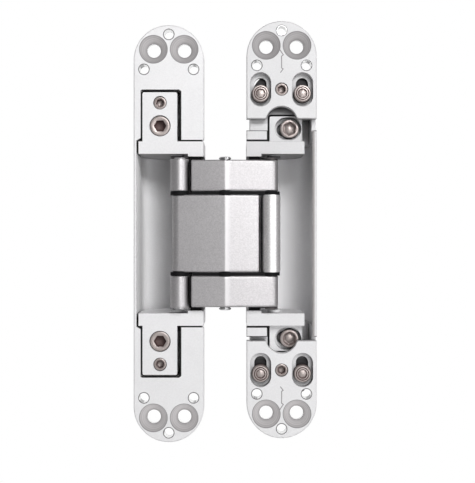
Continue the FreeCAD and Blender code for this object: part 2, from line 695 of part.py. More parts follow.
def door_side_screw():
    face = LEDGE + SIDE_HEAD_SUNK
    return to_door(screw(DEPTH_SCREW_X, SIDE_SCREW_Z, face, SIDE_HEAD_RADIUS, SIDE_HEAD_HEIGHT - SLIDE_GAP,
                         SIDE_SHANK_RADIUS, SIDE_SCREW_LENGTH, SIDE_SOCKET))


def door_clamp_screws():
    face = SLOT_SINK - SLIDE_GAP - CLAMP_HEAD_HEIGHT
    solids = []
    for side in (-1, 1):
        one = screw(side * SLOT_SIDE, SLOT_Z, face, CLAMP_HEAD_RADIUS, CLAMP_HEAD_HEIGHT,
                    CLAMP_SHANK_RADIUS, CLAMP_SCREW_LENGTH, CLAMP_SOCKET)
        solids.extend(both_ends(to_door(one)))
    return solids


def door_set_screws():
    length = LEAF_THICKNESS - SET_SCREW_SUNK
    one = to_door(set_screw(0, SET_SCREW_Z, SET_SCREW_SUNK, SET_SCREW_RADIUS, length, SET_SOCKET))
    pair = both_ends(one)
    for solid in pair:
        solid.translate(V(0, 0, HEIGHT_REST))
    return pair


def arm_washers(pivot):
    z0 = CENTRE_HALF + WASHER_GAP
    return both_ends(ring(pivot, z0, z0 + WASHER_THICKNESS, WASHER_RADIUS, PIN_RADIUS + PIN_PLAY))


def separators():
    """Black plates between the arms: the arm's outline drawn in, and a washer round the centre pin."""
    z0 = CENTRE_HALF + WASHER_GAP
    z1 = z0 + WASHER_THICKNESS
    outline = arm_face().makeOffset2D(-SEPARATOR_INSET)
    plate = outline.extrude(V(0, 0, z1 - z0))
    plate.translate(V(0, 0, z0))
    plate = plate.fuse(pin(CENTRE, z0, z1, WASHER_RADIUS)).removeSplitter()
    plate = drilled(plate, [CENTRE], z0, z1, PIN_RADIUS + PIN_PLAY)
    plate = drilled(plate, [ARM_PIVOT], z0, z1, ARM_PIN_RADIUS + PIN_PLAY)
    return both_ends(drilled(plate, [(FLOAT_SIDE, FLOAT_RISE)], z0, z1, WASHER_RADIUS + WASHER_GAP))


def arm_bushes():
    """Thrust bushes round the arm's own pivot, each with a tongue that reaches forward."""
    z0 = OUTER_END + WASHER_GAP
    z1 = z0 + BUSH_THICKNESS
    over_links = z0 + LINK_PROUD + WASHER_GAP
    tongue = box(BUSH_LEFT, BUSH_RIGHT, BUSH_FRONT, ARM_PIVOT_DEPTH, over_links, z1)
    round_end = pin(ARM_PIVOT, z0, z1, BUSH_RADIUS)
    bush = round_end.fuse(tongue).removeSplitter()
    return both_ends(bush.cut(pin(ARM_PIVOT, z0 - 1, z1 + 1, ARM_PIN_RADIUS + PIN_PLAY)))


def nodes():
    """Every piece by name: a solid, or a list of like solids."""
    door_float = (FLOAT_SIDE, FLOAT_RISE)
    upper_link = link_solid(OUTER_START + LINK_END_GAP, OUTER_END + LINK_PROUD)
    link_pin = pin(LINK_PIVOT, OUTER_START + LINK_END_GAP, LINK_PIN_END, LINK_PIN_RADIUS)
    centre_link = to_door(link_solid(-CENTRE_HALF, CENTRE_HALF))
    spacer = ring(ARM_PIVOT, CENTRE_HALF + WASHER_GAP, OUTER_END, SPACER_RADIUS, ARM_PIN_RADIUS + PIN_PLAY)
    frame_pin = pin(ARM_PIVOT, OUTER_START + LINK_END_GAP, FLANGE_END - PIN_COVER, ARM_PIN_RADIUS)
    upper_arm = outer_arm()
    upper_bracket = frame_bracket()
    upper_door_bracket = door_bracket()
    return {
        "frame_housing": frame_housing(),
        "frame_lock_screws": both_ends(frame_lock_screw()),
        "frame_bracket_upper": upper_bracket,
        "frame_bracket_lower": mirror_z(upper_bracket),
        "frame_depth_screws": both_ends(frame_depth_screw()),
        "frame_arm_pins": both_ends(frame_pin),
        "frame_thrust_bushes": arm_bushes(),
        "outer_arm_upper": upper_arm,
        "outer_arm_lower": mirror_z(upper_arm),
        "centre_pin": headed_pin(CENTRE, CENTRE_PIN_PROUD),
        "door_floating_pin": headed_pin(door_float, PIN_PROUD),
        "centre_washers": separators(),
        "door_link_washers": arm_washers(door_float),
        "centre_arm": centre_arm(),
        "frame_floating_pin": headed_pin(FLOAT, PIN_PROUD),
        "frame_link_washers": arm_washers(FLOAT),
        "frame_link_upper": upper_link,
        "frame_link_lower": mirror_z(upper_link),
        "frame_link_pins": both_ends(link_pin),
        "door_link": centre_link,
        "door_link_pin": to_door(pin(LINK_PIVOT, -LINK_PIN_END, LINK_PIN_END, LINK_PIN_RADIUS)),
        "door_bracket_upper": upper_door_bracket,
        "door_bracket_lower": mirror_z(upper_door_bracket),
        "door_arm_pin": to_door(pin(ARM_PIVOT, -FLANGE_END + PIN_COVER, FLANGE_END - PIN_COVER, ARM_PIN_RADIUS)),
        "door_arm_spacers": [to_door(solid) for solid in both_ends(spacer)],
        "door_thrust_bushes": [to_door(solid) for solid in arm_bushes()],
        "door_housing": door_housing(),
        "door_side_screws": both_ends(door_side_screw()),
        "door_clamp_screws": door_clamp_screws(),
        "door_plate_upper": plate_end(1),
        "door_plate_lower": plate_end(-1),
        "door_height_screws": door_set_screws(),
    }


os.makedirs("parts", exist_ok=True)
for name, piece in nodes().items():
    shape = Part.makeCompound(piece) if isinstance(piece, list) else piece
    if len(shape.Solids) == 1 and not isinstance(piece, list):
        shape = shape.Solids[0]
    shape.translate(V(0, -LEAF_THICKNESS, 0))
    shape.exportStep("parts/" + name + ".step")
    print(name, len(shape.Solids), shape.isValid(), round(shape.Volume))
print("arm turn", round(math.degrees(ARM_TURN), 3), "link pivot", LINK_PIVOT)
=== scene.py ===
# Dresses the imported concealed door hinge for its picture: finishes, turned socket screws and engraved arrows.
# Metres, in the row frame: X from the frame leaf to the door leaf, Y into the door frame, Z up.
import bpy
import json
import math
import numpy as np
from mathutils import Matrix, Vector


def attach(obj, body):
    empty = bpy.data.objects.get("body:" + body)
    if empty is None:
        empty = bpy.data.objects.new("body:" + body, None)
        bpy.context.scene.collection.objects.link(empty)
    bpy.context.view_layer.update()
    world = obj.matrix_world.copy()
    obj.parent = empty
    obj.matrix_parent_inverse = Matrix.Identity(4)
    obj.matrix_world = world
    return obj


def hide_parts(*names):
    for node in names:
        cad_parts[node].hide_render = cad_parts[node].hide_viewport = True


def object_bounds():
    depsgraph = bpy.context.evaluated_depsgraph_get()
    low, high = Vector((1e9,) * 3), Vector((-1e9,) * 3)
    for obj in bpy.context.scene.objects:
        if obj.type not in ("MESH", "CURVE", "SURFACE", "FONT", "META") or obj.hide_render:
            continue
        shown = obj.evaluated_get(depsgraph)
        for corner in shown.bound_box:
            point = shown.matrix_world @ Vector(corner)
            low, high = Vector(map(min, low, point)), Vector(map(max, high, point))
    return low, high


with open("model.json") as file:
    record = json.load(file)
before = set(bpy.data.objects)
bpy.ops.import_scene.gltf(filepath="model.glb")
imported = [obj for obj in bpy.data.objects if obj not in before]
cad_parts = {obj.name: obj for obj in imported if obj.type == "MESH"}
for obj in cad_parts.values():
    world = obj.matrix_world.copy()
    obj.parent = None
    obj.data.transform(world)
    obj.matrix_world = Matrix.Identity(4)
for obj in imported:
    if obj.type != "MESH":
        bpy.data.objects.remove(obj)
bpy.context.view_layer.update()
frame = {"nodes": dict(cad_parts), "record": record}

MM = 0.001

# The middle of the gap between the leaves, the door leaf's place and its plates' rise in mm, and the middles of
# the frame leaf, the door leaf and its plates
HINGE_X = 25.7 * MM
DOOR_ACROSS = 51.4
PLATE_RISE = 1.8
FRAME_MIDDLE = (0.0, 0.0)
DOOR_MIDDLE = (DOOR_ACROSS * MM, 0.0)
PLATE_MIDDLE = (DOOR_ACROSS * MM, PLATE_RISE * MM)

# Camera, set from the outline of the leaves in the photograph
CAMERA_PLACE = (31.3 * MM, -355 * MM, -3.6 * MM)
LENS = 57.3
SENSOR_WIDTH = 36

# Studio: the floor and where it turns white, and the world's strength by direction
FLOOR_DROP = 70 * MM
FLOOR_HALF = 3
FLOOR_FADE = (0.19, 0.22)
FLOOR_BACK = (0.3, 0.5)
FLOOR_TONE = 0.92
LEFT_SIDE = 0.22
AMBIENT = 0.12
BACKDROP = 1.0

# Lamps: degrees to the right of the hinge and above it, size and power
LAMP_DISTANCE = 1.2
LAMPS = [
    ("key", 15, 27, (0.50, 0.36), 7.7),
    ("low", 16, -2, (0.40, 0.20), 1.4),
    ("side", 50, 6, (0.36, 0.36), 2.2),
]

# Holes of a leaf, from its middle: across and along of the countersinks, the peg holes and their radii
SINK_PLACE = (7.0 * MM, 83.9 * MM)
SINK_RADIUS = 6.35 * MM
BORE_RADIUS = 3.1 * MM
PEG_SIDE = (11.3 * MM, 74.8 * MM)
PEG_END = 90.7 * MM
PEG_RADIUS = 2.2 * MM

# Rings of painted shade round the holes' mouths, in mm: outward from the radius, half width, soft edge, and
# darkness
PEG_RING = (0.22, 0.12, 0.25, 1.0)
BORE_RING = (0.15, 0.10, 0.25, 0.5)
SINK_RING = (0.0, 0.08, 0.28, 0.6)

# Countersink tones, painted light and shade that counter the cones' shading: shares of up and of right, the
# tones away from the key lamp and toward it over a distance in mm, the lower end's gain, and the tones of the
# turned rings
KEY_UP = 0.9
KEY_RIGHT = 0.1
SINK_SPAN = 5.0
SINK_TONES = (0.76, 0.98)
LOWER_GAIN = 1.3
TURNING_TONES = (0.86, 1.12)

# How far countersinks and drafted walls turn forward
SINK_FORWARD = 0.85
DRAFT_FORWARD = 0.88

# Places in mm: along Y where a leaf's face and a countersink's mouth end, the leaves' half height that a tone
# fades over, and the soft edge of a stroke
LEAF_FACE = (-4.6, -4.4)
SINK_MOUTH = (-1.7, -1.5)
FADE_HALF = 90.0
STROKE_EDGE = 0.12

# Roughness and metallic of reamed bores, and of screw sockets under their painted shade
REAMED = (0.12, 0.6)
SOCKET_SHADE_FINISH = (0.6, 0.3)

# Strokes on the leaves, from a leaf's middle: start, end and width in mm
ARROW = ((-0.9, 82.0), (0.75, 79.6), (-0.05, 79.0), (0.0, 73.6), (0.7, 73.2), (-0.5, 71.6))
ARROW_LINES = [(start, end, 0.28) for start, end in zip(ARROW, ARROW[1:])]
# Painted shadow along the gaps round the frame leaf's tab
FRAME_GAP_SHADOW_LINES = [
    ((5.1, 42.4), (5.1, 64.6), 1.1), ((-12.0, 65.2), (4.6, 65.2), 0.7), ((5.1, 42.4), (16.0, 42.4), 0.5),
    ((-12.6, 42.4), (-12.6, 65.2), 0.3),
]
# Painted shadow along the gaps round the door's tab and block, and a dark seam across the block
DOOR_GAP_SHADOW_AND_SEAM_LINES = [
    ((-6.2, 42.4), (-6.2, 53.0), 0.9), ((-16.0, 42.4), (-6.2, 42.4), 0.8),
    ((-16.0, 46.9), (16.0, 46.9), 0.28),
]
DOOR_RIM_LINES = [((14.2, 0.0), (14.2, 46.9), 1.5)]

# Painted shade: steps whose product is a mask, each with an axis, two places on it in mm, and the values
# before and after. The axis ends is the distance from the middle height, aside that from the leaf's middle.
POCKET_INSIDE = [("Y", -4.5, -2.5, 0.0, 1.0), ("ends", 42.0, 43.0, 1.0, 0.0), ("aside", 14.7, 15.1, 1.0, 0.0),
                 ("Y", 28.6, 29.4, 1.0, 0.0)]
UNDER_PLATE = [("ends", 52.0, 58.0, 0.25, 0.95), ("Y", -4.5, -3.5, 0.0, 1.0), ("Y", 4.0, 8.0, 1.0, 0.0),
               ("aside", 13.5, 14.0, 1.0, 0.0), ("ends", 50.7, 51.0, 0.0, 1.0)]
UNDER_FLANGE = [("Z", 36.0, 36.2, 0.85, 0.0), ("Y", -4.6, -4.2, 0.0, 1.0)]
BESIDE_KNUCKLE = [("X", 6.7, 7.0, 0.0, 0.9), ("X", 12.0, 12.3, 1.0, 0.0), ("Y", -2.0, 0.0, 0.0, 1.0),
                  ("Y", 11.0, 12.0, 1.0, 0.0)]
SLOT_DEPTHS = [("Y", -1.4, -1.2, 0.0, 0.93), ("ends", 72.0, 73.0, 1.0, 0.0)]
# Where the arms' painted highlight starts and ends across X, from the middle of the gap between the leaves
CREST_RISE = (-0.2 * MM, 0.2 * MM)
CREST_FALL = (0.6 * MM, 2.8 * MM)

# The colour of painted shade: in crevices, along gap lines, under plates and flanges and beside the knuckle
PAINTED_SHADE_COLOUR = (0.012, 0.010, 0.011, 1)
DOOR_RIM_COLOUR = (0.40, 0.38, 0.38, 1)
ARROW_COLOUR = (0.30, 0.28, 0.29, 1)
SINK_COLOUR = (0.50, 0.48, 0.485)
# Painted light on the straight walls of bores and peg holes, as if lit from behind
BORE_WALL_LIGHT_COLOUR = (0.95, 0.95, 0.95, 1)
# Painted shade in the rings round the holes
RING_SHADE_COLOUR = (0.10, 0.095, 0.10, 1)
CREST_HIGHLIGHT_COLOUR = (0.66, 0.645, 0.655, 1)
# Painted shade along outer edges, whose rounding turns them from the light
EDGE_COLOUR = (0.42, 0.41, 0.42)
# Painted shade in screw sockets and grooves
SOCKET_SHADE_COLOUR = (0.075, 0.032, 0.028, 1)


def socket(sockets, name):
    """The enabled socket of that name, since some nodes hold several under one name."""
    for one in sockets:
        if one.name == name and one.enabled:
            return one
    raise KeyError(name)


def new_object(name, data):
    made = bpy.data.objects.new(name, data)
    bpy.context.scene.collection.objects.link(made)
    return made


class Nodes:
    """Adds shader nodes to a tree; an input is set from a number, a colour or another node's output."""

    def __init__(self, tree):
        self.tree = tree
        tree.nodes.clear()

    def fill(self, target, value):
        if isinstance(value, bpy.types.NodeSocket):
            self.tree.links.new(value, target)
        else:
            target.default_value = value

    def add(self, kind, settings=None, **inputs):
        node = self.tree.nodes.new("ShaderNode" + kind)
        for name, value in (settings or {}).items():
            setattr(node, name, value)
        for name, value in inputs.items():
            if name[:3] == "in_":
                self.fill(node.inputs[int(name[3:])], value)
            else:
                self.fill(socket(node.inputs, name.replace("_", " ")), value)
        return node

    def math(self, operation, first, second=0.0, clamp=False):
        settings = {"operation": operation, "use_clamp": clamp}
        return self.add("Math", settings, in_0=first, in_1=second).outputs[0]

    def times(self, first, *others):
        for other in others:
            first = self.math("MULTIPLY", first, other)
        return first

    def apart(self, value, middle):
        """How far a value lies from a middle value."""
        return self.math("ABSOLUTE", self.math("SUBTRACT", value, middle))

    def vector(self, operation, first, second):
        return self.add("VectorMath", {"operation": operation}, in_0=first, in_1=second).outputs[0]

    def dot(self, first, second):
        product = self.add("VectorMath", {"operation": "DOT_PRODUCT"}, in_0=first, in_1=second)
        return product.outputs["Value"]

    def scaled(self, colour, share):
        return self.add("VectorMath", {"operation": "SCALE"}, in_0=colour, Scale=share).outputs[0]

    def place(self):
        """X, Y and Z in the piece's own coordinates."""
        return self.add("SeparateXYZ", Vector=self.add("TexCoord").outputs["Object"]).outputs

    def facing(self, axis):
        """The share of the surface's direction along one axis of the piece."""
        return self.add("SeparateXYZ", Vector=self.add("TexCoord").outputs["Normal"]).outputs[axis]

    def mix(self, amount, first, second):
        node = self.add("Mix", {"data_type": "RGBA"}, Factor=amount)
        self.fill(socket(node.inputs, "A"), first)
        self.fill(socket(node.inputs, "B"), second)
        return socket(node.outputs, "Result")

    def radius(self, across, along):
        """Distance from the middle of a round feature, from its two offsets in the leaf's plane."""
        both = self.add("CombineXYZ", X=across, Y=along).outputs[0]
        return self.add("VectorMath", {"operation": "LENGTH"}, in_0=both).outputs["Value"]

    def spread(self, value, low, high, to_low, to_high):
        """The value's place between low and high, as a value between to_low and to_high."""
        node = self.add("MapRange", {"clamp": True}, Value=value)
        for index, number in enumerate((low, high, to_low, to_high)):
            self.fill(node.inputs[index + 1], number)
        return node.outputs[0]


def new_group(name, inputs, outputs):
    """A shader node group with named inputs (name, kind, default) and outputs (name, kind)."""
    tree = bpy.data.node_groups.new(name, "ShaderNodeTree")
    for label, kind, default in inputs:
        made = tree.interface.new_socket(name=label, in_out="INPUT", socket_type="NodeSocket" + kind)
        made.default_value = default
    for label, kind in outputs:
        tree.interface.new_socket(name=label, in_out="OUTPUT", socket_type="NodeSocket" + kind)
    nodes = Nodes(tree)
    source = tree.nodes.new("NodeGroupInput")
    target = tree.nodes.new("NodeGroupOutput")
    return tree, nodes, source.outputs, target.inputs


def grain_group():
    """Fine cast grain under silver plating: speckled colour, roughness and a shallow bump."""
    inputs = [
        ("Color", "Color", (0.8, 0.8, 0.8, 1)), ("Roughness", "Float", 0.4), ("Size", "Float", 0.3),
        ("Speckle", "Float", 0.1), ("Relief", "Float", 0.2),
    ]
    outputs = [("Color", "Color"), ("Roughness", "Float"), ("Normal", "Vector")]
    tree, nodes, given, result = new_group("fine_grain", inputs, outputs)
    place = nodes.add("TexCoord").outputs["Object"]
    scale = nodes.math("DIVIDE", 1000.0, given["Size"])
    fine = nodes.add("TexNoise", Vector=place, Scale=scale, Detail=3.0, Roughness=0.65).outputs[0]
    wide_scale = nodes.math("MULTIPLY", scale, 0.02)
    wide = nodes.add("TexNoise", Vector=place, Scale=wide_scale, Detail=2.0, Roughness=0.5).outputs[0]
    flake = nodes.add("TexVoronoi", Vector=place, Scale=nodes.math("MULTIPLY", scale, 0.8)).outputs["Color"]
    flake_bright = nodes.add("SeparateColor", Color=flake).outputs[0]
    low = nodes.math("SUBTRACT", 1.0, given["Speckle"])
    high = nodes.math("ADD", 1.0, given["Speckle"])
    both = nodes.math("ADD", nodes.math("MULTIPLY", fine, 0.5), nodes.math("MULTIPLY", flake_bright, 0.5))
    blotch = nodes.spread(wide, 0.3, 0.7, 0.985, 1.015)
    shade = nodes.times(nodes.spread(both, 0.25, 0.75, low, high), blotch)
    nodes.fill(result["Color"], nodes.scaled(given["Color"], shade))
    rough = nodes.math("MULTIPLY", given["Roughness"], nodes.spread(fine, 0.2, 0.8, 0.85, 1.15), True)
    nodes.fill(result["Roughness"], rough)
    bump = nodes.add("Bump", Strength=given["Relief"], Distance=0.00003, Height=fine).outputs[0]
    nodes.fill(result["Normal"], bump)
    return tree


def edge_group():
    """Outer edges, given a painted tone, shade on castings and a highlight on screws: how far a rounded normal
    leans from the flat one.
    """
    inputs = [("Radius", "Float", 0.0004), ("Amount", "Float", 1.0)]
    tree, nodes, given, result = new_group("edge_shade", inputs, [("Edge", "Float"), ("Rounded", "Vector")])
    rounded = nodes.add("Bevel", {"samples": 6}, Radius=given["Radius"]).outputs[0]
    nodes.fill(result["Rounded"], rounded)
    flat = nodes.add("NewGeometry").outputs["Normal"]
    mask = nodes.spread(nodes.dot(rounded, flat), 0.99, 0.85, 0.0, 1.0)
    nodes.fill(result["Edge"], nodes.math("MULTIPLY", mask, given["Amount"], True))
    return tree


def crevice_group():
    """Painted shade in narrow gaps and deep corners: open sky over the point, made a steep mask.

    Limit is the share of open sky where the mask ends. Walls facing left, away from the lamps, keep all of it;
    the others keep only Far of it.
    """
    inputs = [
        ("Reach", "Float", 0.0045), ("Amount", "Float", 1.0), ("Limit", "Float", 0.46), ("Far", "Float", 1.0),
    ]
    tree, nodes, given, result = new_group("crevice", inputs, [("Crevice", "Float")])
    sky = nodes.add("AmbientOcclusion", {"samples": 8}, Distance=given["Reach"]).outputs["AO"]
    mask = nodes.spread(sky, 0.20, given["Limit"], 1.0, 0.0)
    mask = nodes.times(mask, nodes.spread(nodes.facing("X"), -0.6, 0.2, 1.0, given["Far"]))
    nodes.fill(result["Crevice"], nodes.math("MULTIPLY", mask, given["Amount"], True))
    return tree


def holes_group():
    """Machined countersinks and peg holes, alike at both ends and both sides of a leaf's middle.

    Across and along are folded by their absolute values, so one countersink at (7, 83.9) mm stands for four.
    Sink is the cone, Turning its rings, Rim the rings of painted shade, Open what no crevice darkens, Reamed
    the straight walls, painted bright, and Painted tone the cone's painted light and shade, lighter toward the
    key lamp.
    """
    inputs = [("Centre X", "Float", 0.0), ("Centre Z", "Float", 0.0)]
    outputs = [(label, "Float") for label in ("Sink", "Turning", "Rim", "Open", "Reamed", "Painted tone")]
    tree, nodes, given, result = new_group("machined_holes", inputs, outputs)

    def ring(distance, radius, outward, half, soft, share):
        return nodes.spread(nodes.apart(distance, radius + outward * MM), half * MM, soft * MM, share, 0.0)

    place = nodes.place()
    across = nodes.math("SUBTRACT", place["X"], given["Centre X"])
    folded = nodes.math("ABSOLUTE", across)
    along = nodes.apart(place["Z"], given["Centre Z"])
    past_side = nodes.math("SUBTRACT", folded, SINK_PLACE[0])
    past_end = nodes.math("SUBTRACT", along, SINK_PLACE[1])
    near_face = nodes.spread(place["Y"], SINK_MOUTH[0] * MM, SINK_MOUTH[1] * MM, 1.0, 0.0)
    sink = nodes.radius(past_side, past_end)
    cone = nodes.spread(sink, SINK_RADIUS, SINK_RADIUS + 0.05 * MM, 1.0, 0.0)
    nodes.fill(result["Sink"], nodes.times(cone, near_face))
    rings = nodes.add("TexNoise", {"noise_dimensions": "1D"}, W=sink, Scale=1500.0, Detail=2.0).outputs[0]
    nodes.fill(result["Turning"], nodes.times(rings, cone))
    side = nodes.radius(nodes.math("SUBTRACT", folded, PEG_SIDE[0]),
                        nodes.math("SUBTRACT", along, PEG_SIDE[1]))
    end = nodes.radius(across, nodes.math("SUBTRACT", along, PEG_END))
    nearest = nodes.math("MINIMUM", side, end)
    dark = nodes.math("MAXIMUM", ring(nearest, PEG_RADIUS, *PEG_RING), ring(sink, BORE_RADIUS, *BORE_RING))
    dark = nodes.math("MAXIMUM", dark, ring(sink, SINK_RADIUS, *SINK_RING))
    nodes.fill(result["Rim"], nodes.times(dark, near_face))
    walls = nodes.spread(nearest, PEG_RADIUS + 0.05 * MM, PEG_RADIUS + 0.1 * MM, 1.0, 0.0)
    nodes.fill(result["Open"], nodes.math("MAXIMUM", walls, cone))
    straight = nodes.spread(sink, BORE_RADIUS + 0.02 * MM, BORE_RADIUS + 0.05 * MM, 1.0, 0.0)
    nodes.fill(result["Reamed"], nodes.math("MAXIMUM", walls, straight))
    # Painted light and shade on the cone, lighter toward the key lamp where the cone falls in shade
    upper = nodes.math("SIGN", place["Z"])
    right = nodes.times(past_side, nodes.math("SIGN", across), KEY_RIGHT)
    up = nodes.times(past_end, upper, KEY_UP)
    painted_tone = nodes.spread(nodes.math("SUBTRACT", up, right), -SINK_SPAN * MM, SINK_SPAN * MM, *SINK_TONES)
    nodes.fill(result["Painted tone"], nodes.times(painted_tone, nodes.spread(upper, -1.0, 1.0, LOWER_GAIN, 1.0)))
    return tree


def stroke_group():
    """One engraved stroke in the leaf's plane: mask of the points within half the width of a segment.

    The nearest point is start + clamp(dot(p - start, span) / dot(span, span)) * span.
    """
    inputs = [("Place", "Vector", (0, 0, 0)), ("Start", "Vector", (0, 0, 0)), ("Span", "Vector", (0, 0, 0)),
              ("Width", "Float", 0.0004)]
    tree, nodes, given, result = new_group("engraved_stroke", inputs, [("Stroke", "Float")])
    offset = nodes.vector("SUBTRACT", given["Place"], given["Start"])
    length_squared = nodes.dot(given["Span"], given["Span"])
    share = nodes.math("DIVIDE", nodes.dot(offset, given["Span"]), length_squared, True)
    foot = nodes.scaled(given["Span"], share)
    apart = nodes.add("VectorMath", {"operation": "DISTANCE"}, in_0=offset, in_1=foot).outputs["Value"]
    half = nodes.math("MULTIPLY", given["Width"], 0.5)
    outer = nodes.math("ADD", half, STROKE_EDGE * MM)
    nodes.fill(result["Stroke"], nodes.spread(apart, half, outer, 1.0, 0.0))
    return tree


GRAIN = grain_group()
EDGE = edge_group()
CREVICE = crevice_group()
HOLES = holes_group()
STROKE = stroke_group()


def stroke_mask(nodes, middle, lines):
    """Strokes on a leaf's face, folded to both its ends: the largest of their masks."""
    place = nodes.place()
    across = nodes.math("SUBTRACT", place["X"], middle[0])
    flat = nodes.add("CombineXYZ", X=across, Y=nodes.apart(place["Z"], middle[1])).outputs[0]
    mask = None
    for start, end, width in lines:
        first = (start[0] * MM, start[1] * MM, 0)
        span = ((end[0] - start[0]) * MM, (end[1] - start[1]) * MM, 0)
        stroke = nodes.add("Group", {"node_tree": STROKE}, Place=flat, Start=first, Span=span,
                           Width=width * MM).outputs[0]
        mask = stroke if mask is None else nodes.math("MAXIMUM", mask, stroke)
    return nodes.times(mask, nodes.spread(place["Y"], LEAF_FACE[0] * MM, LEAF_FACE[1] * MM, 1.0, 0.0))


def painted_mask(nodes, steps, middle):
    """The product of a list of steps, as they are described beside POCKET_INSIDE."""
    place = nodes.place()
    masks = []
    for axis, low, high, before, after in steps:
        if axis == "ends":
            value = nodes.math("ABSOLUTE", place["Z"])
        elif axis == "aside":
            value = nodes.apart(place["X"], middle[0])
        else:
            value = place[axis]
        masks.append(nodes.spread(value, low * MM, high * MM, before, after))
    return nodes.times(*masks)


def forward_normal(nodes, amount, normal):
    """Cutter steps in a countersink and the draft of a cast wall face forward: a share of that direction."""
    to_world = {"vector_type": "NORMAL", "convert_from": "OBJECT", "convert_to": "WORLD"}
    forward = nodes.add("VectorTransform", to_world, Vector=(0.0, -1.0, 0.0)).outputs[0]
    both = nodes.add("Mix", {"data_type": "VECTOR"}, in_0=amount, in_4=normal, in_5=forward).outputs[1]
    return nodes.add("VectorMath", {"operation": "NORMALIZE"}, in_0=both).outputs[0]


class Look:
    """What a finish feeds to its shader, with gap, the crevice mask of painted shade that is laid on last."""

    def __init__(self, tint, rough, shine, normal, gap):
        self.tint = tint
        self.rough = rough
        self.shine = shine
        self.normal = normal
        self.gap = gap


def machine_holes(nodes, look, middle):
    """Turned countersinks with a painted tone, rings of painted shade round the holes, and reamed walls painted
    bright, as if lit from behind, that no crevice darkens.
    """
    cut = nodes.add("Group", {"node_tree": HOLES}, Centre_X=middle[0], Centre_Z=middle[1]).outputs
    painted_tone = nodes.times(nodes.spread(cut["Turning"], 0.35, 0.65, *TURNING_TONES), cut["Painted tone"])
    reamed = cut["Reamed"]
    look.tint = nodes.mix(cut["Sink"], look.tint, nodes.scaled(SINK_COLOUR, painted_tone))
    look.tint = nodes.mix(cut["Rim"], look.tint, RING_SHADE_COLOUR)
    look.tint = nodes.mix(reamed, look.tint, BORE_WALL_LIGHT_COLOUR)
    look.gap = nodes.times(look.gap, nodes.math("SUBTRACT", 1.0, cut["Open"]))
    smooth = nodes.add("Mix", {"data_type": "FLOAT"}, in_0=reamed, in_2=look.rough, in_3=REAMED[0])
    look.rough = smooth.outputs[0]
    look.shine = nodes.spread(reamed, 0.0, 1.0, look.shine, REAMED[1])
    stepped = nodes.times(nodes.math("SUBTRACT", cut["Sink"], reamed, True), SINK_FORWARD)
    look.normal = forward_normal(nodes, stepped, look.normal)


def paint_pocket_light(nodes, look, middle, pocket_light):
    """Painted light and shade inside POCKET_INSIDE: a tone from one X to another, with its far wall drafted
    forward.
    """
    inside = painted_mask(nodes, POCKET_INSIDE, middle)
    start, end, before, after = pocket_light
    tone = nodes.spread(nodes.place()["X"], start * MM, end * MM, before, after)
    look.tint = nodes.mix(inside, look.tint, nodes.scaled(look.tint, tone))
    drafted = nodes.times(inside, nodes.spread(nodes.facing("X"), 0.3, 0.9, 0.0, DRAFT_FORWARD))
    look.normal = forward_normal(nodes, drafted, look.normal)


def paint_crest_highlight(nodes, look, rounded):
    """The arms' folded middle: a rounded edge and a painted highlight in a stripe just past it."""
    lean = nodes.vector("SUBTRACT", rounded, nodes.add("NewGeometry").outputs["Normal"])
    both = nodes.vector("ADD", look.normal, lean)
    look.normal = nodes.add("VectorMath", {"operation": "NORMALIZE"}, in_0=both).outputs[0]
    across = nodes.place()["X"]
    bright = nodes.times(nodes.spread(across, HINGE_X + CREST_RISE[0], HINGE_X + CREST_RISE[1], 0.0, 1.0),
                         nodes.spread(across, HINGE_X + CREST_FALL[0], HINGE_X + CREST_FALL[1], 1.0, 0.0))
    look.tint = nodes.mix(bright, look.tint, CREST_HIGHLIGHT_COLOUR)


